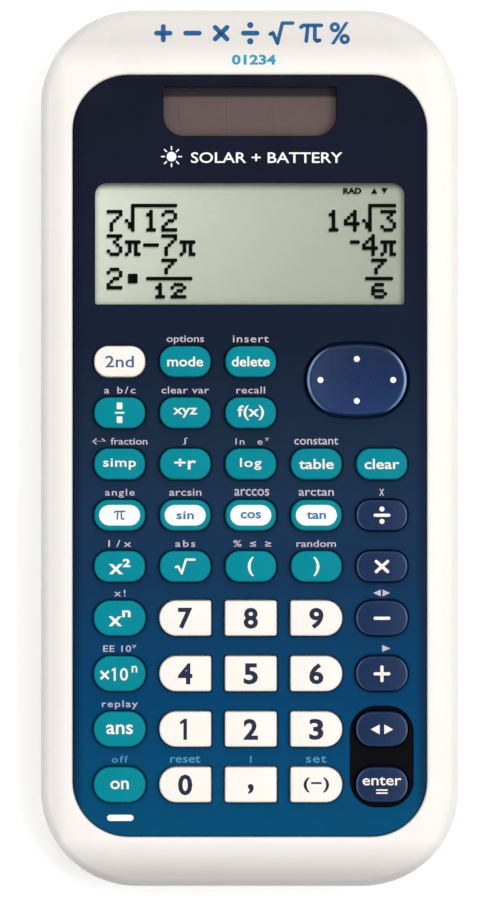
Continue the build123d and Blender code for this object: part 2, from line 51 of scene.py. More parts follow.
# ---------------------------------------------------------------- where things are
PLATE_ENDS = (-76 * MM, 74 * MM)  # the keypad plate's near and far ends, for its paint
PLATE_SIDE = 32.0 * MM  # where painted shade starts to darken the plate towards its sides
PAD_ENDS = (6.4 * MM, 20.4 * MM)  # the navigation pad's near and far ends
DISPLAY_SIDES = (-31 * MM, 31 * MM)
DISPLAY_HOOD = (50.3 * MM, 51.9 * MM)  # the band at the display's far edge that its frame shades
CELL_HOOD = (68.5 * MM, 69.3 * MM)  # the same on the solar cell
CELL_STRIP = 9.2 * MM  # the width of the solar cell's strips
DOT_PITCH = 0.596 * MM
glass_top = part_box("lcd_glass")[1].z
toggle_box, enter_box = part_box("key_toggle"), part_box("key_enter")
SURROUND_X = (toggle_box[0].x + toggle_box[1].x) / 2  # the sunk field round those two keys
SURROUND_Y = (toggle_box[0].y + enter_box[1].y) / 2
SURROUND_HALF = (6.25 * MM, 9.95 * MM)
SURROUND_CORNER = 5.2 * MM


# ---------------------------------------------------------------- node helpers
def srgb(red, green, blue):
    """A linear colour from 8-bit sRGB values."""

    def linear(value):
        value /= 255
        return value / 12.92 if value <= 0.04045 else ((value + 0.055) / 1.055) ** 2.4

    return (linear(red), linear(green), linear(blue), 1.0)


class Graph:
    """A material's node tree, with short calls that make a node and return its first output."""

    def __init__(self, name):
        self.material = bpy.data.materials.new(name)
        self.material.use_nodes = True
        self.tree = self.material.node_tree
        self.tree.nodes.clear()
        self.output = self.tree.nodes.new("ShaderNodeOutputMaterial")
        self.place = self.node("ShaderNodeTexCoord").outputs["Object"]

    def node(self, kind, inputs=(), **settings):
        made = self.tree.nodes.new(kind)
        for name, value in settings.items():
            setattr(made, name, value)
        for key, value in dict(inputs).items():
            self.feed(made.inputs[key], value)
        return made

    def feed(self, socket, value):
        if isinstance(value, bpy.types.NodeSocket):
            self.tree.links.new(value, socket)
        else:
            socket.default_value = value

    def noise(self, scale, detail=3.0, stretch=(1, 1, 1)):
        """Noise from 0 to 1; scale is in cycles per metre."""
        place = self.node("ShaderNodeMapping", {"Vector": self.place, "Scale": stretch})
        made = self.node(
            "ShaderNodeTexNoise",
            {"Vector": place.outputs["Vector"], "Scale": scale, "Detail": detail, "Roughness": 0.55},
        )
        return made.outputs["Fac"]

    def math(self, operation, a, b=0.0, c=0.0):
        return self.node("ShaderNodeMath", {0: a, 1: b, 2: c}, operation=operation).outputs[0]

    def span(self, value, low, high, to_low=0.0, to_high=1.0, smooth=False):
        """The value's way from low to high, as a number from to_low to to_high."""
        made = self.node(
            "ShaderNodeMapRange",
            {"Value": value, "From Min": low, "From Max": high, "To Min": to_low, "To Max": to_high},
            interpolation_type="SMOOTHSTEP" if smooth else "LINEAR",
        )
        return made.outputs["Result"]

    def mix(self, share, a, b, blend="MIX"):
        made = self.node("ShaderNodeMix", data_type="RGBA", blend_type=blend)
        self.feed(made.inputs["Factor"], share)
        self.feed(made.inputs[6], a)
        self.feed(made.inputs[7], b)
        return made.outputs[2]

    def ramp(self, value, stops):
        made = self.node("ShaderNodeValToRGB", {"Fac": value})
        elements = made.color_ramp.elements
        while len(elements) < len(stops):
            elements.new(0.5)
        for element, (position, colour) in zip(elements, stops):
            element.position = position
            element.color = colour
        return made.outputs["Color"]

    def axes(self):
        """Where a point of the piece is, across and along the calculator."""
        split = self.node("ShaderNodeSeparateXYZ", {"Vector": self.place})
        return split.outputs["X"], split.outputs["Y"]

    def off(self, value, centre):
        """How far a value is from a centre, either way."""
        return self.math("ABSOLUTE", self.math("SUBTRACT", value, centre))

    def bump(self, height, distance, strength=1.0, normal=None):
        inputs = {"Height": height, "Distance": distance, "Strength": strength}
        if normal is not None:
            inputs["Normal"] = normal
        return self.node("ShaderNodeBump", inputs).outputs["Normal"]

    def surface(self, **inputs):
        """A Principled surface on the output. Inputs are its socket names, with _ for a space."""
        named = {name.replace("_", " "): value for name, value in inputs.items()}
        shader = self.node("ShaderNodeBsdfPrincipled", named)
        self.tree.links.new(shader.outputs["BSDF"], self.output.inputs["Surface"])
        return self.material


# ---------------------------------------------------------------- materials
def moulded(name, colour, rough=0.36, grain=0.006, pitch=5200, mottle=0.05, level=0.5):
    """Moulded plastic: a faint cloudiness in the colour, a fine spark-eroded grain, uneven gloss."""
    g = Graph(name)
    cloud = g.noise(90, 4)
    darker = [channel * (1 - mottle) for channel in colour[:3]] + [1.0]
    lighter = [min(1.0, channel * (1 + mottle)) for channel in colour[:3]] + [1.0]
    tint = g.mix(g.span(cloud, 0.35, 0.65), darker, lighter)
    gloss = g.span(g.noise(1400, 4), 0.3, 0.7, rough - 0.04, rough + 0.06)
    normal = g.bump(g.noise(pitch, 3), grain * MM)
    return g.surface(Base_Color=tint, Roughness=gloss, Normal=normal, Specular_IOR_Level=level)


def ink(name, colour, mottle=0.06):
    """Screen-printed ink: slightly uneven cover and a soft gloss."""
    return moulded(name, colour, rough=0.45, grain=0.002, pitch=9000, mottle=mottle, level=0.3)


def navy_plastic(name, stops, wear_and_highlight):
    """Glossy navy, with a painted highlight that makes its rounded left and right rims pale, as strong
    as the given share. Its colour follows stops from the near side of the pad to its far side."""
    g = Graph(name)
    _, y = g.axes()
    tint = g.ramp(g.span(y, *PAD_ENDS), stops)
    tint = g.mix(g.span(g.noise(160, 4), 0.3, 0.7, 0.0, 0.10), tint, srgb(34, 58, 98))
    turn = g.node("ShaderNodeSeparateXYZ", {"Vector": g.node("ShaderNodeNewGeometry").outputs["Normal"]})
    sideways = g.math("ABSOLUTE", turn.outputs["X"])
    rim = g.math("MULTIPLY", g.span(sideways, 0.2, 0.55), g.span(turn.outputs["Z"], 0.35, 0.7))
    patchy = g.span(g.noise(420, 4), 0.3, 0.6, 0.55, 1.0)
    share = g.math("MULTIPLY", g.math("MULTIPLY", rim, patchy), wear_and_highlight)
    # painted highlight: the rims are lightened towards a pale blue
    tint = g.mix(share, tint, srgb(150, 186, 232))
    gloss = g.span(g.noise(1400, 4), 0.3, 0.7, 0.26, 0.36)
    normal = g.bump(g.noise(5200, 3), 0.003 * MM)
    return g.surface(Base_Color=tint, Roughness=gloss, Normal=normal, Specular_IOR_Level=0.22)


def metal(name, colour, rough, streaks=(1, 1, 1)):
    """Bare metal with faint drawn lines."""
    g = Graph(name)
    lines = g.noise(2500, 4, streaks)
    darker = [channel * 0.8 for channel in colour[:3]] + [1.0]
    tint = g.mix(lines, darker, colour)
    normal = g.bump(lines, 0.01 * MM)
    gloss = g.span(lines, 0.3, 0.7, rough - 0.05, rough + 0.1)
    return g.surface(Base_Color=tint, Metallic=1.0, Roughness=gloss, Normal=normal)


def white_case(name, grain, rough):
    """The white shell: warm off-white, with painted shade greying it towards its ends and sides, and its
    sides polished by hands.
    """
    g = Graph(name)
    cloud = g.noise(55, 4)
    tint = g.mix(cloud, srgb(238, 234, 228), srgb(245, 241, 235))
    x, y = g.axes()
    # painted shade: the shell greys towards its near and far ends and its left and right sides
    low_end = g.span(y, -76.5 * MM, -83.5 * MM, 0.0, 1.0)
    high_end = g.span(y, 74.5 * MM, 79.5 * MM, 0.0, 0.5)
    left_side = g.span(x, -35.5 * MM, -38 * MM, 0.0, 0.26, smooth=True)
    right_side = g.span(x, 36 * MM, 38.5 * MM, 0.0, 0.18, smooth=True)
    ends = g.math("MAXIMUM", low_end, high_end)
    painted_shade = g.math("MAXIMUM", ends, g.math("MAXIMUM", left_side, right_side))
    tint = g.mix(painted_shade, tint, srgb(196, 191, 187))
    wear_and_highlight = g.span(g.math("MULTIPLY", g.math("ABSOLUTE", x), g.noise(160, 4)), 0.012, 0.024)
    gloss = g.math("SUBTRACT", g.span(g.noise(1800, 4), 0.3, 0.7, rough, rough + 0.08), wear_and_highlight)
    gloss = g.math("MAXIMUM", gloss, rough - 0.08)
    fine = g.bump(g.noise(6500, 3), grain * MM)
    normal = g.bump(g.noise(45, 2), 0.02 * MM, normal=fine)
    return g.surface(
        Base_Color=tint,
        Roughness=gloss,
        Normal=normal,
        Specular_IOR_Level=0.18,
        Subsurface_Weight=0.08,
        Subsurface_Scale=0.6 * MM,
    )


def plate_paint():
    """The keypad plate: near black at the display end, running down to a deep blue, with the sunk
    field round the last two navy keys in black."""
    g = Graph("plate_paint")
    x, y = g.axes()
    blue = g.ramp(
        g.span(y, *PLATE_ENDS),
        [
            (0.00, srgb(0, 76, 114)),
            (0.06, srgb(0, 73, 112)),
            (0.17, srgb(0, 65, 106)),
            (0.26, srgb(6, 60, 98)),
            (0.34, srgb(18, 51, 83)),
            (0.42, srgb(24, 49, 77)),
            (0.52, srgb(24, 42, 63)),
            (0.64, srgb(20, 30, 49)),
            (0.80, srgb(22, 26, 42)),
            (1.00, srgb(20, 22, 36)),
        ],
    )
    blue = g.mix(g.span(g.noise(120, 4), 0.3, 0.7, 0.0, 0.12), blue, srgb(30, 44, 70))
    # painted shade along the plate's sides, beside the raised bezel
    side = g.math("SUBTRACT", g.math("ABSOLUTE", x), PLATE_SIDE)
    edge = g.span(side, 0.2 * MM, 2.4 * MM, 0.0, 0.6, smooth=True)
    blue = g.mix(edge, blue, srgb(8, 16, 40))
    # the distance outside a rounded box, measured from the centres of its corners
    straight_x, straight_y = [half - SURROUND_CORNER for half in SURROUND_HALF]
    out_x = g.math("MAXIMUM", g.math("SUBTRACT", g.off(x, SURROUND_X), straight_x), 0.0)
    out_y = g.math("MAXIMUM", g.math("SUBTRACT", g.off(y, SURROUND_Y), straight_y), 0.0)
    squares = g.math("ADD", g.math("MULTIPLY", out_x, out_x), g.math("MULTIPLY", out_y, out_y))
    away = g.math("SUBTRACT", g.math("SQRT", squares), SURROUND_CORNER)
    black = g.span(away, -0.02 * MM, 0.04 * MM, 1.0, 0.0)
    tint = g.mix(black, blue, srgb(9, 9, 14))
    gloss = g.span(g.noise(1500, 4), 0.3, 0.7, 0.34, 0.44)
    normal = g.bump(g.noise(5200, 3), 0.004 * MM)
    return g.surface(Base_Color=tint, Roughness=gloss, Normal=normal, Specular_IOR_Level=0.04)


def clear_plastic():
    """The windows: clear, with a thin reflection and faint wiping marks."""
    g = Graph("clear_plastic")
    marks = g.noise(900, 5, (1, 6, 1))
    gloss = g.span(marks, 0.4, 0.8, 0.02, 0.10)
    shine = g.node("ShaderNodeBsdfGlossy", {"Roughness": gloss, "Color": (1, 1, 1, 1)})
    through = g.node("ShaderNodeBsdfTransparent", {"Color": (0.975, 0.98, 0.975, 1)})
    share = g.math("MULTIPLY", g.node("ShaderNodeFresnel", {"IOR": 1.45}).outputs[0], 0.6)
    both = g.node("ShaderNodeMixShader", {0: share, 1: through.outputs[0], 2: shine.outputs[0]})
    g.tree.links.new(both.outputs[0], g.output.inputs["Surface"])
    return g.material


def display_back():
    """The display's reflector: pale grey-green, with painted light making it lighter towards its left,
    painted shade darkening its near part and a painted shadow of its frame along its far edge, and a very
    fine dot grid.
    """
    g = Graph("display_back")
    x, y = g.axes()
    # painted light: the reflector is lighter towards its left
    tint = g.ramp(
        g.span(x, *DISPLAY_SIDES),
        [
            (0.00, srgb(244, 246, 232)),
            (0.08, srgb(231, 234, 220)),
            (0.35, srgb(210, 213, 199)),
            (0.65, srgb(194, 197, 184)),
            (1.00, srgb(184, 187, 172)),
        ],
    )
    # painted shade: darker towards the near edge
    low = g.span(y, 28 * MM, 52 * MM, 0.30, 0.0)
    tint = g.mix(low, tint, srgb(160, 168, 150))
    tint = g.mix(g.span(g.noise(700, 4), 0.3, 0.7, 0.0, 0.10), tint, srgb(150, 158, 142))
    grid_x = g.math("PINGPONG", x, DOT_PITCH / 2)
    grid_y = g.math("PINGPONG", y, DOT_PITCH / 2)
    line = g.math("MINIMUM", grid_x, grid_y)
    tint = g.mix(g.span(line, 0.0, 0.04 * MM, 0.06, 0.0), tint, srgb(120, 126, 112))
    # painted shadow of the frame along the far edge
    hood = g.span(y, *DISPLAY_HOOD, 0.0, 0.8, smooth=True)
    tint = g.mix(hood, tint, srgb(88, 88, 76))
    normal = g.bump(g.noise(9000, 2), 0.002 * MM)
    return g.surface(Base_Color=tint, Roughness=0.5, Normal=normal, Specular_IOR_Level=0.12)


def cell_face():
    """The solar cell: dull red-brown film in strips, with fine laser lines between them, and a painted
    shadow along its far edge.
    """
    g = Graph("cell_face")
    x, y = g.axes()
    tint = g.mix(g.noise(400, 5), srgb(106, 89, 89), srgb(117, 98, 98))
    strips = g.math("PINGPONG", g.math("ADD", x, CELL_STRIP / 2), CELL_STRIP / 2)
    line = g.span(strips, 0.0, 0.12 * MM, 0.25, 0.0)
    tint = g.mix(line, tint, srgb(58, 48, 52))
    grain = g.span(g.noise(3000, 2, (1, 8, 1)), 0.3, 0.7, 0.0, 0.12)
    tint = g.mix(grain, tint, srgb(124, 106, 104))
    # painted shadow of the window's frame along the cell's far edge
    hood = g.span(y, *CELL_HOOD, 0.0, 0.92, smooth=True)
    tint = g.mix(hood, tint, srgb(40, 40, 50))
    normal = g.bump(g.noise(2600, 3), 0.003 * MM)
    return g.surface(Base_Color=tint, Roughness=0.3, Normal=normal, Specular_IOR_Level=0.2)


def board_paint():
    """Solder mask over copper tracks."""
    g = Graph("board_paint")
    place = g.node("ShaderNodeMapping", {"Vector": g.place, "Scale": (260, 260, 260)})
    brick = g.node(
        "ShaderNodeTexBrick",
        {
            "Vector": place.outputs["Vector"],
            "Color1": srgb(24, 98, 52),
            "Color2": srgb(28, 110, 60),
            "Mortar": srgb(38, 132, 74),
            "Mortar Size": 0.05,
            "Scale": 1.0,
        },
    )
    normal = g.bump(g.noise(3000, 3), 0.01 * MM)
    return g.surface(Base_Color=brick.outputs["Color"], Roughness=0.35, Normal=normal)


def faint_shadow():
    """The pale shadow that the display's dots cast on the reflector under them."""
    g = Graph("dot_shadow")
    dark = g.node("ShaderNodeBsdfDiffuse", {"Color": srgb(70, 76, 66)})
    through = g.node("ShaderNodeBsdfTransparent")
    share = g.span(g.noise(800, 2), 0.3, 0.7, 0.16, 0.24)
    both = g.node("ShaderNodeMixShader", {0: share, 1: through.outputs[0], 2: dark.outputs[0]})
    g.tree.links.new(both.outputs[0], g.output.inputs["Surface"])
    return g.material


def rubber(name, colour, rough=0.75):
    return moulded(name, colour, rough=rough, grain=0.02, pitch=4000, mottle=0.12, level=0.3)


# ---------------------------------------------------------------- surfaces to print on
def middle(node):
    low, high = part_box(node)
    return (low + high) / 2


def top_of(node):
    """The height of a CAD piece's upper surface over a point of it."""
    tree = BVHTree.FromObject(frame["nodes"][node], bpy.context.evaluated_depsgraph_get())

    def height(x, y):
        return tree.ray_cast((x, y, 1.0), (0, 0, -1))[0].z

    return height


def plate_top(x, y):
    """The same for the keypad plate, which is flat."""
    return FACE


def display_level(x, y):
    """The same for the display's glass."""
    return glass_top


FLAT = (plate_top, display_level)


# ---------------------------------------------------------------- flat shapes: (points, faces), in metres
def set_type(text, slant, heavy, spacing):
    """Text in Blender's own font at size 1, as (points, faces)."""
    curve = bpy.data.curves.new("lettering", "FONT")
    curve.body = text
    curve.shear = slant
    curve.offset = heavy
    curve.space_character = spacing
    curve.resolution_u = 3
    holder = bpy.data.objects.new("lettering", curve)
    bpy.context.scene.collection.objects.link(holder)
    graph = bpy.context.evaluated_depsgraph_get()
    mesh = bpy.data.meshes.new_from_object(holder.evaluated_get(graph))
    points = [(v.co.x, v.co.y) for v in mesh.vertices]
    faces = [tuple(p.vertices) for p in mesh.polygons]
    bpy.data.objects.remove(holder)
    bpy.data.curves.remove(curve)
    bpy.data.meshes.remove(mesh)
    return points, faces


def extent(points, axis):
    """The least and the greatest of the points' x (axis 0) or y (axis 1)."""
    values = [p[axis] for p in points]
    return min(values), max(values)


def lettering(text, height, width=None, slant=0.0, heavy=0.0):
    """Text as a flat shape centred on the origin. height is that of its own ink. width, if given, is
    what its ink fills: letters are squeezed, or widened up to STRETCH and past that spaced out."""

    def natural(spacing):
        points, faces = set_type(text, slant, heavy, spacing)
        (left, right), (low, high) = extent(points, 0), extent(points, 1)
        return points, faces, (right - left) * height / (high - low)

    points, faces, reach = natural(1.0)
    if width is not None and width > reach and len(text) > 1:
        _, _, wide = natural(1.5)
        share = (width / STRETCH - reach) / (wide - reach)
        points, faces, reach = natural(1 + 0.5 * min(max(share, 0.0), 1.0))
    (left, right), (low, high) = extent(points, 0), extent(points, 1)
    scale_y = height / (high - low)
    scale_x = scale_y if width is None else width / (right - left)
    mid_x, mid_y = (left + right) / 2, (low + high) / 2
    return [((x - mid_x) * scale_x, (y - mid_y) * scale_y) for x, y in points], faces


def polygon(points):
    """One face through the points."""
    return list(points), [tuple(range(len(points)))]


def bar(width, height, corner=None, steps=6):
    """A bar with rounded corners, or round ends if no corner radius is given."""
    corner = min(width, height) / 2 if corner is None else corner
    points = []
    for quarter, (side_x, side_y) in enumerate([(1, 1), (-1, 1), (-1, -1), (1, -1)]):
        centre_x, centre_y = side_x * (width / 2 - corner), side_y * (height / 2 - corner)
        for step in range(steps + 1):
            angle = (quarter + step / steps) * pi / 2
            points.append((centre_x + corner * cos(angle), centre_y + corner * sin(angle)))
    return polygon(points)


def around(radius, count):
    """Evenly spaced points on a circle."""
    turns = [2 * pi * n / count for n in range(count)]
    return [(radius * cos(turn), radius * sin(turn)) for turn in turns]


def disc(radius, steps=20):
    return polygon(around(radius, steps))


def line(points, width):
    """A drawn line: a bar along each run, with a round at each point."""
    parts = [moved(disc(width / 2, 12), x, y) for x, y in points]
    for (x1, y1), (x2, y2) in zip(points, points[1:]):
        run = hypot(x2 - x1, y2 - y1)
        box = polygon([(0, -width / 2), (run, -width / 2), (run, width / 2), (0, width / 2)])
        parts.append(moved(box, x1, y1, degrees(atan2(y2 - y1, x2 - x1))))
    return joined(*parts)


def root_sign(width, height, stroke):
    """The root sign with its bar."""
    left, right, low, high = -width / 2, width / 2, -height / 2, height / 2
    dip = left + 0.32 * width
    return line(
        [
            (left, low + 0.45 * height),
            (left + 0.12 * width, low + 0.52 * height),
            (dip, low),
            (dip + 0.22 * width, high),
            (right, high),
        ],
        stroke,
    )


def pi_sign(width, height, stroke):
    """The Greek letter pi."""
    left, right, low, high = -width / 2, width / 2, -height / 2, height / 2
    return joined(
        line([(left, high - 0.12 * height), (left + 0.12 * width, high), (right, high)], stroke),
        line([(left + 0.34 * width, high), (left + 0.26 * width, low)], stroke),
        line(
            [
                (left + 0.68 * width, high),
                (left + 0.68 * width, low + 0.12 * height),
                (left + 0.78 * width, low),
                (left + 0.92 * width, low + 0.05 * height),
            ],
            stroke,
        ),
    )


def moved(shape, x, y, turn=0.0):
    """The shape turned by some degrees about the origin and then moved."""
    points, faces = shape
    c, s = cos(radians(turn)), sin(radians(turn))
    return [(x + px * c - py * s, y + px * s + py * c) for px, py in points], faces


def joined(*shapes):
    """Several shapes as one."""
    points, faces = [], []
    for some_points, some_faces in shapes:
        start = len(points)
        points += some_points
        faces += [tuple(start + n for n in face) for face in some_faces]
    return points, faces


def sheet(name, shape, height, material, body, lift=INK_LIFT):
    """A flat shape laid on a surface as a thin skin. It is cut finer where it has to bend."""
    points, faces = shape
    bm = bmesh.new()
    made = [bm.verts.new((x, y, 0)) for x, y in points]
    for face in faces:
        bm.faces.new([made[n] for n in face])
    bm.normal_update()
    bmesh.ops.triangulate(bm, faces=bm.faces)
    for _ in range(4):
        long = [e for e in bm.edges if e.calc_length() > CUT_LENGTH]
        if not long or height in FLAT:
            break
        bmesh.ops.subdivide_edges(bm, edges=long, cuts=1)
        bmesh.ops.triangulate(bm, faces=bm.faces)
    for v in bm.verts:
        v.co.z = height(v.co.x, v.co.y) + lift
    bmesh.ops.recalc_face_normals(bm, faces=bm.faces)
    if sum(f.normal.z for f in bm.faces) < 0:
        bmesh.ops.reverse_faces(bm, faces=bm.faces)
    mesh = bpy.data.meshes.new(name)
    bm.to_mesh(mesh)
    bm.free()
    mesh.materials.append(material)
    piece = bpy.data.objects.new(name, mesh)
    bpy.context.scene.collection.objects.link(piece)
    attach(piece, body)


# ---------------------------------------------------------------- the CAD pieces' finishes
white_shell = white_case("white_shell", 0.006, 0.34)
white_back = white_case("white_back", 0.02, 0.5)
teal = moulded("teal_plastic", srgb(0, 133, 147), rough=0.4, mottle=0.04, level=0.06)
# the navy keys' rims get a faint painted highlight
navy = navy_plastic("navy_plastic", [(0.0, srgb(19, 43, 79)), (1.0, srgb(21, 45, 81))], 0.3)
# on the pad the stops are painted shade, lighter at its near end and darker at its far end, and its rims
# get a strong painted highlight
pad_navy = navy_plastic(
    "pad_plastic", [(0.0, srgb(25, 51, 98)), (0.5, srgb(20, 42, 82)), (1.0, srgb(22, 38, 70))], 0.95
)
white_key = moulded("white_key_plastic", srgb(248, 238, 230), rough=0.36, mottle=0.015, level=0.15)
clear = clear_plastic()
steel = metal("contact_metal", (0.62, 0.61, 0.58, 1), 0.3, (1, 12, 1))
screw_metal = metal("screw_metal", (0.30, 0.30, 0.31, 1), 0.32)
silicone = rubber("silicone", srgb(196, 196, 190), 0.6)
foot_rubber = rubber("foot_rubber", srgb(70, 70, 72))
resin = moulded("black_resin", srgb(24, 24, 26), rough=0.3, grain=0.02)
grey_plastic = moulded("grey_plastic", srgb(150, 152, 154), rough=0.5, grain=0.01)
red_lead = moulded("red_lead", srgb(170, 36, 30), rough=0.4)

FINISHES = {
    "front_bezel": white_shell,
    "rear_cover": white_back,
    "case_screws": screw_metal,
    "rubber_feet": foot_rubber,
    "faceplate": plate_paint(),
    "display_window": clear,
    "solar_window": clear,
    "solar_cell": cell_face(),
    "solar_leads": red_lead,
    "lcd_glass": display_back(),
    "lcd_holder": grey_plastic,
    "lcd_connector": silicone,
    "key_mat": silicone,
    "navigation_pad": pad_navy,
    "pad_pivot": grey_plastic,
    "main_board": board_paint(),
    "board_components": resin,
    "coin_cell": steel,
    "battery_clips": steel,
}
slot_of = {row["node"]: row["material_slot"] for row in frame["record"]["subparts"]}
KEY_FINISHES = {"key_teal": teal, "key_navy": navy, "key_white": white_key}

for node, piece in frame["nodes"].items():
    finish = FINISHES.get(node) or KEY_FINISHES[slot_of[node]]
    piece.data.materials.clear()
    piece.data.materials.append(finish)

# ---------------------------------------------------------------- print on the keys
cream = ink("cream_ink", srgb(246, 236, 226))
dark_ink = ink("dark_ink", srgb(12, 26, 56))
slate = ink("slate_ink", srgb(62, 94, 138))
inlay_blue = ink("inlay_blue_ink", srgb(44, 112, 156))
inlay_white = ink("inlay_white", srgb(250, 248, 244), 0.02)
lilac = ink("lilac_ink", srgb(196, 182, 196))
dim_blue = ink("dim_blue_ink", srgb(74, 142, 178))
title_blue = ink("title_blue_ink", srgb(4, 86, 140))
title_cyan = ink("title_cyan_ink", srgb(34, 148, 182))
bright_white = ink("bright_white_ink", srgb(250, 250, 242), 0.02)


def legend(node, shape, material, lift=INK_LIFT, part="legend"):
    """Print on the middle of a key."""
    centre = middle(node)
    placed = moved(shape, centre.x, centre.y)
    sheet(f"{node}_{part}", placed, top_of(node), material, node, lift)


def figure_one(height, stroke):
    """The figure 1: an upright with a short flag at its top left."""
    foot, top = -height / 2, height / 2
    right, left = stroke / 2, -stroke / 2
    tip = left - 0.16 * height
    return polygon(
        [
            (right, foot),
            (right, top),
            (left * 0.6, top),
            (tip, top - 0.14 * height),
            (tip, top - 0.27 * height),
            (left, top - 0.19 * height),
            (left, foot),
        ]
    )


def fraction():
    """A stacked fraction: a small box over a bar over a small box."""
    box = bar(1.1 * MM, 1.3 * MM, 0.15 * MM)
    return joined(*[moved(box, 0, side * 1.35 * MM) for side in (1, -1)], bar(1.9 * MM, 0.35 * MM))


WORDS = [  # key, word, width and height in mm
    ("key_mode", "mode", 7.0, 1.95),
    ("key_delete", "delete", 7.4, 1.95),
    ("key_variable", "xyz", 4.7, 1.9),
    ("key_function", "f(x)", 5.2, 2.9),
    ("key_simplify", "simp", 6.4, 2.2),
    ("key_integer_divide", "÷r", 4.2, 2.1),
    ("key_logarithm", "log", 4.2, 2.3),
    ("key_table", "table", 6.8, 2.0),
    ("key_clear", "clear", 6.8, 2.0),
    ("key_square", "x²", 4.2, 3.0),
    ("key_open_bracket", "(", 1.2, 3.7),
    ("key_close_bracket", ")", 1.2, 3.7),
    ("key_power", "xⁿ", 4.3, 3.1),
    ("key_answer", "ans", 5.2, 1.9),
    ("key_on", "on", 3.6, 1.7),
]
for node, word, width, height in WORDS:
    legend(node, lettering(word, height * MM, width * MM, heavy=0.014), cream)
legend("key_root", root_sign(3.7 * MM, 2.7 * MM, 0.42 * MM), cream)
legend("key_fraction", fraction(), cream)
legend(
    "key_ten_power",
    joined(
        moved(lettering("×", 1.9 * MM, heavy=0.012), -2.9 * MM, -0.25 * MM),
        moved(figure_one(2.5 * MM, 0.40 * MM), -0.95 * MM, -0.1 * MM),
        moved(lettering("0", 2.5 * MM, heavy=0.012), 0.85 * MM, -0.1 * MM),
        moved(lettering("n", 1.3 * MM, heavy=0.012), 2.9 * MM, 0.9 * MM),
    ),
    cream,
)
legend("key_second", lettering("2nd", 2.3 * MM, 5.6 * MM, heavy=0.012), slate)

INLAY_SIZE = (8.0 * MM, 4.0 * MM)
INLAYS = {
    "key_pi": pi_sign(2.0 * MM, 1.5 * MM, 0.32 * MM),
    "key_sine": lettering("sin", 1.6 * MM, 3.4 * MM, heavy=0.025),
    "key_cosine": lettering("cos", 1.3 * MM, 4.0 * MM, heavy=0.025),
    "key_tangent": lettering("tan", 1.5 * MM, 3.8 * MM, heavy=0.025),
}
for node, label in INLAYS.items():
    legend(node, bar(*INLAY_SIZE), inlay_white, part="inlay")
    legend(node, label, inlay_blue, 2 * INK_LIFT)

SIGN_STROKE = 0.62 * MM
level_bar = bar(3.3 * MM, SIGN_STROKE)
legend("key_minus", level_bar, cream)
legend("key_plus", joined(level_bar, moved(level_bar, 0, 0, 90)), cream)
slanted = [moved(bar(3.6 * MM, SIGN_STROKE), 0, 0, turn) for turn in (42, -42)]
legend("key_times", joined(*slanted), cream)
divide_dots = [moved(disc(0.5 * MM), 0, side * 1.2 * MM) for side in (1, -1)]
legend("key_divide", joined(level_bar, *divide_dots), cream)
arrow = polygon([(0, -0.95 * MM), (1.75 * MM, 0), (0, 0.95 * MM)])
legend("key_toggle", joined(moved(arrow, 0.45 * MM, 0), moved(arrow, -0.45 * MM, 0, 180)), cream)
enter_word = moved(lettering("enter", 1.7 * MM, 7.6 * MM, heavy=0.012), 0, 0.75 * MM)
equals = [moved(bar(2.3 * MM, 0.3 * MM), 0, -down * MM) for down in (1.0, 1.6)]
legend("key_enter", joined(enter_word, *equals), cream)

DIGIT_SIZE = (4.1 * MM, 2.8 * MM)  # height, width
for digit in "023456789":
    legend(f"key_{digit}", lettering(digit, *DIGIT_SIZE, heavy=0.03), dark_ink)
legend("key_1", figure_one(DIGIT_SIZE[0], 0.68 * MM), dark_ink)
legend("key_comma", moved(lettering(",", 2.0 * MM, heavy=0.02), 0, -0.8 * MM), dark_ink)
legend("key_negate", lettering("(−)", 2.9 * MM, 5.0 * MM, heavy=0.025), dark_ink)

# the pad's four dots, in its hollow
PAD_DOT = 0.58 * MM
PAD_DOT_ACROSS, PAD_DOT_ALONG = 7.1 * MM, 4.1 * MM
pad_middle = middle("navigation_pad")
dot_steps = [(PAD_DOT_ACROSS, 0), (-PAD_DOT_ACROSS, 0), (0, PAD_DOT_ALONG), (0, -PAD_DOT_ALONG)]
dots = joined(*[moved(disc(PAD_DOT), pad_middle.x + x, pad_middle.y + y) for x, y in dot_steps])
sheet("pad_dots", dots, top_of("navigation_pad"), bright_white, "navigation_pad")

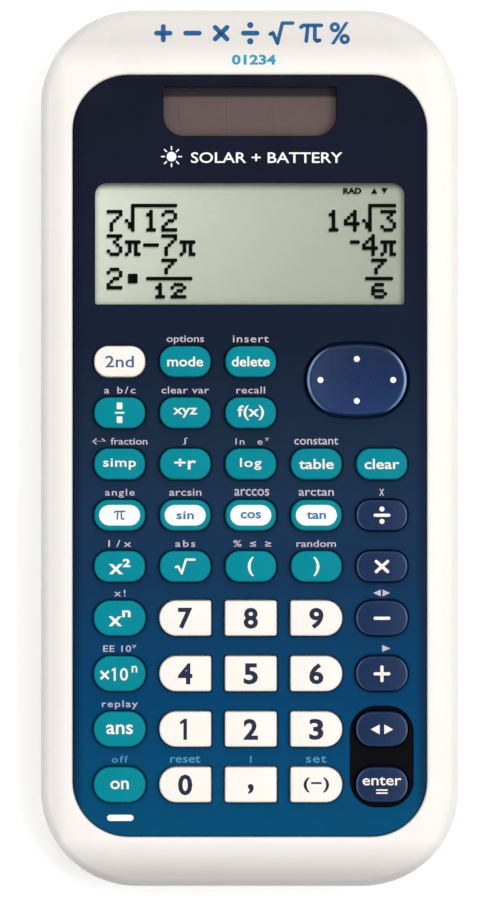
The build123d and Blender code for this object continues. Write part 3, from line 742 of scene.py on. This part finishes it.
# ---------------------------------------------------------------- print on the plate and the bezel
SMALL = 1.35 * MM  # the height of a second legend without tails
SECOND_GAP = 0.85 * MM  # from its key to its middle
TAIL_DROP = 0.19 * MM
SECOND_WORDS = [  # key, word, how far to the right of its key and how wide in mm, ink
    ("key_mode", "options", 0.0, 7.3, lilac),
    ("key_delete", "insert", 0.0, 7.0, lilac),
    ("key_fraction", "a b/c", 0.0, 6.1, lilac),
    ("key_variable", "clear var", 0.0, 9.3, lilac),
    ("key_function", "recall", 0.0, 5.6, lilac),
    ("key_simplify", "↔ fraction", 0.0, 10.8, lilac),
    ("key_integer_divide", "∫", 0.0, 1.0, lilac),
    ("key_logarithm", "ln  eˣ", 0.3, 6.6, lilac),
    ("key_table", "constant", 0.0, 8.6, lilac),
    ("key_pi", "angle", 0.0, 5.8, lilac),
    ("key_sine", "arcsin", 0.0, 6.3, lilac),
    ("key_cosine", "arccos", 0.2, 6.8, lilac),
    ("key_tangent", "arctan", 0.0, 6.9, lilac),
    ("key_divide", "x", 0.0, 0.95, lilac),
    ("key_square", "1/x", 0.0, 4.5, lilac),
    ("key_root", "abs", 0.0, 3.9, lilac),
    ("key_open_bracket", "% ≤ ≥", 0.3, 7.4, lilac),
    ("key_close_bracket", "random", 0.0, 7.7, lilac),
    ("key_power", "x!", 0.0, 2.2, lilac),
    ("key_minus", "◄►", 0.0, 3.3, lilac),
    ("key_ten_power", "EE 10ˣ", 0.0, 6.5, lilac),
    ("key_plus", "►", 0.9, 1.6, lilac),
    ("key_answer", "replay", 0.0, 7.0, lilac),
    ("key_on", "off", 0.0, 3.2, dim_blue),
    ("key_0", "reset", 0.0, 5.9, dim_blue),
    ("key_comma", "|", 0.0, 0.3, dim_blue),
    ("key_negate", "set", 0.0, 4.0, dim_blue),
]
for node, word, aside, width, material in SECOND_WORDS:
    low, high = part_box(node)
    centre = (low + high) / 2
    tails = any(letter in "gpqy" for letter in word)
    height = SMALL * (1.28 if tails else 1.0)
    shape = lettering(word, height, width * MM, heavy=0.0 if word[0] in "◄►" else 0.007)
    y = high.y + SECOND_GAP - (TAIL_DROP if tails else 0.0)
    placed = moved(shape, centre.x + aside * MM, y)
    sheet(f"{node}_second_legend", placed, plate_top, material, "case")


def plate_print(name, shape, x, y):
    """White print on the keypad plate."""
    sheet(name, moved(shape, x * MM, y * MM), plate_top, bright_white, "case")


def sun(radius, rays=8):
    """A sun: a disc with short rays."""
    ray = bar(radius * 0.85, radius * 0.28)
    places = around(1.75 * radius, rays)
    return joined(disc(radius), *[moved(ray, x, y, 360 * n / rays) for n, (x, y) in enumerate(places)])


plate_print("plate_bar", bar(5.15 * MM, 1.2 * MM), -25.3, -72.3)
plate_print("sun_mark", sun(0.95 * MM), -15.3, 57.0)
plate_print("power_words", lettering("SOLAR + BATTERY", 2.1 * MM, 29.6 * MM, heavy=0.01), 3.3, 56.8)

bezel_top = top_of("front_bezel")
TITLE_Y = 81.1 * MM
bold = 0.95 * MM
tall = 3.6 * MM
TITLE = [  # how far to the right in mm, sign
    (-16.9, joined(bar(tall, bold), bar(bold, tall))),
    (-11.2, bar(tall, bold)),
    (-5.6, joined(*[moved(bar(4.2 * MM, bold), 0, 0, a) for a in (45, -45)])),
    (0.1, joined(bar(tall, bold), *[moved(disc(0.62 * MM), 0, a * 1.6 * MM) for a in (1, -1)])),
    (6.2, root_sign(4.4 * MM, 4.0 * MM, 0.72 * MM)),
    (12.0, pi_sign(4.0 * MM, 3.1 * MM, 0.75 * MM)),
    (17.6, lettering("%", 4.4 * MM, 4.0 * MM, heavy=0.02)),
]
for n, (x, shape) in enumerate(TITLE):
    placed = moved(shape, x * MM, TITLE_Y)
    sheet(f"title_symbol_{n + 1}", placed, bezel_top, title_blue, "case")
small_title = moved(lettering("01234", 2.0 * MM, 8.6 * MM, heavy=0.035), 0.8 * MM, 75.9 * MM)
sheet("title_digits", small_title, bezel_top, title_cyan, "case")

# ---------------------------------------------------------------- the display's dots
GLYPHS = {
    "7": ["#####", "....#", "...#.", "..#..", ".#...", ".#...", ".#..."],
    "1": [".#.", "##.", ".#.", ".#.", ".#.", ".#.", "###"],
    "2": [".###.", "#...#", "....#", "..##.", ".#...", "#....", "#####"],
    "3": ["#####", "...#.", "..#..", "...#.", "....#", "#...#", ".###."],
    "4": ["...#.", "..##.", ".#.#.", "#..#.", "#####", "...#.", "...#."],
    "pi": ["#####", ".#.#.", ".#.#.", ".#.#.", "#..##"],
    "minus": ["#####"],
    "raised_minus": ["###"],
    "dot": ["###", "###", "###"],
    "small_7": ["#####", "...#.", "..#..", ".#...", ".#..."],
    "small_1": [".#.", "##.", ".#.", ".#.", "###"],
    "small_2": [".###.", "#...#", "..##.", ".#...", "#####"],
    "small_6": [".###.", "#....", "####.", "#...#", ".###."],
    "root": ["..#", "..#", "..#", "..#", "..#", "#.#", ".##", ".##", "..#"],
}
DISPLAYED = [  # glyph, and its first column and row
    ("7", 0, 2),
    ("root", 6, 0),
    ("1", 13, 2),
    ("2", 18, 2),
    ("1", 73, 2),
    ("4", 78, 2),
    ("root", 84, 0),
    ("3", 90, 2),
    ("3", 0, 10),
    ("pi", 6, 12),
    ("minus", 12, 13),
    ("7", 18, 10),
    ("pi", 24, 12),
    ("raised_minus", 80, 12),
    ("4", 84, 10),
    ("pi", 90, 12),
    ("2", 0, 21),
    ("dot", 7, 23),
    ("small_7", 18, 18),
    ("small_1", 16, 26),
    ("small_2", 21, 26),
    ("small_7", 87, 18),
    ("small_6", 87, 26),
]
DOT_LINES = [(8, 22, 0), (86, 94, 0), (13, 27, 24), (85, 93, 24)]  # first column, last column, row
DOT_ORIGIN = (-27.98 * MM, 47.82 * MM)  # the first dot's upper left corner
DOT_SIZE = 0.76 * MM
DOT_CORNER = 0.24 * MM
DOT_LIFT = 0.04 * MM
SHADOW_LIFT = 0.015 * MM
SHADOW_STEP = (-0.16 * MM, -0.3 * MM)  # how far the dots' shadow falls beside them
MARK_Y = 50.4 * MM  # the row of small marks over the dots


def lit_dots():
    """The columns and rows of the dots that are dark."""
    lit = {
        (column + across, row + down)
        for glyph, column, row in DISPLAYED
        for down, line in enumerate(GLYPHS[glyph])
        for across, mark in enumerate(line)
        if mark == "#"
    }
    for first, last, row in DOT_LINES:
        lit |= {(column, row) for column in range(first, last + 1)}
    return sorted(lit)


def dot_shapes():
    """The dark dots, and the marks over them, as one shape."""
    square = bar(DOT_SIZE, DOT_SIZE, DOT_CORNER, 2)
    left, top = DOT_ORIGIN
    shapes = [
        moved(square, left + (column + 0.5) * DOT_PITCH, top - (row + 0.5) * DOT_PITCH)
        for column, row in lit_dots()
    ]
    shapes.append(moved(lettering("RAD", 1.2 * MM, 3.6 * MM, heavy=0.05), 20.1 * MM, MARK_Y))
    shapes.append(moved(lettering("▲", 1.1 * MM, 1.3 * MM), 24.4 * MM, MARK_Y))
    shapes.append(moved(lettering("▼", 1.1 * MM, 1.3 * MM), 26.4 * MM, MARK_Y))
    return joined(*shapes)


lcd_black = moulded("display_dots", srgb(14, 17, 14), rough=0.5, grain=0.001, level=0.05)
sheet("lcd_dots", dot_shapes(), display_level, lcd_black, "case", DOT_LIFT)
shadow = moved(dot_shapes(), *SHADOW_STEP)
sheet("lcd_dot_shadows", shadow, display_level, faint_shadow(), "case", SHADOW_LIFT)

# ---------------------------------------------------------------- floor, light and camera
floor_graph = Graph("floor_paint")
floor_tint = floor_graph.mix(floor_graph.noise(6, 3), srgb(250, 250, 250), srgb(253, 253, 253))
floor_paint = floor_graph.surface(
    Base_Color=floor_tint,
    Roughness=0.85,
    Specular_IOR_Level=0.1,
    Emission_Color=(1, 1, 1, 1),
    Emission_Strength=0.2,
)
bpy.ops.mesh.primitive_plane_add(size=8, location=(0, 0, 0))
floor = bpy.context.object
floor.name = "floor"
floor.data.materials.append(floor_paint)


def softbox(name, place, size, power):
    """A rectangular light that faces the middle of the calculator."""
    light = bpy.data.lights.new(name, "AREA")
    light.shape = "RECTANGLE"
    light.size, light.size_y = size
    light.energy = power
    holder = bpy.data.objects.new(name, light)
    bpy.context.scene.collection.objects.link(holder)
    holder.location = place
    holder.rotation_euler = (-Vector(place)).to_track_quat("-Z", "Y").to_euler()


softbox("right_light", (0.66, 0.0, 1.10), (0.6, 0.6), 5.4)
softbox("far_light", (0.0, 1.15, 0.8), (1.2, 0.8), 4.4)


def studio_world(ring, horizon):
    """A round overhead light in a dim room. It has a dark middle, which the flat faces would mirror."""
    world = bpy.data.worlds.new("studio")
    world.use_nodes = True
    tree = world.node_tree
    background = tree.nodes["Background"]
    place = tree.nodes.new("ShaderNodeTexCoord")
    split = tree.nodes.new("ShaderNodeSeparateXYZ")
    ramp = tree.nodes.new("ShaderNodeValToRGB")
    stops = [(0.0, horizon), (0.62, horizon), (0.72, ring), (0.93, ring), (0.97, 0.0)]
    elements = ramp.color_ramp.elements
    while len(elements) < len(stops):
        elements.new(0.5)
    for element, (height, strength) in zip(elements, stops):
        element.position = height
        element.color = (strength, strength, strength, 1)
    tree.links.new(place.outputs["Generated"], split.inputs[0])
    tree.links.new(split.outputs["Z"], ramp.inputs["Fac"])
    tree.links.new(ramp.outputs["Color"], background.inputs["Color"])
    return world


bpy.context.scene.world = studio_world(ring=1.62, horizon=0.03)
bpy.context.scene.view_settings.view_transform = "Standard"

SHOWN_LENGTH = 176.8 * MM  # what the picture's height covers, at the level of the outline
OUTLINE_LEVEL = 13 * MM
VIEW_CENTRE = (0.05 * MM, -0.37 * MM)
lens = bpy.data.cameras.new("camera")
lens.lens = 150
lens.sensor_width = 36
lens.clip_start = 0.01
camera = bpy.data.objects.new("camera", lens)
bpy.context.scene.collection.objects.link(camera)
distance = SHOWN_LENGTH * lens.lens / lens.sensor_width
camera.location = (*VIEW_CENTRE, OUTLINE_LEVEL + distance)
bpy.context.scene.camera = camera
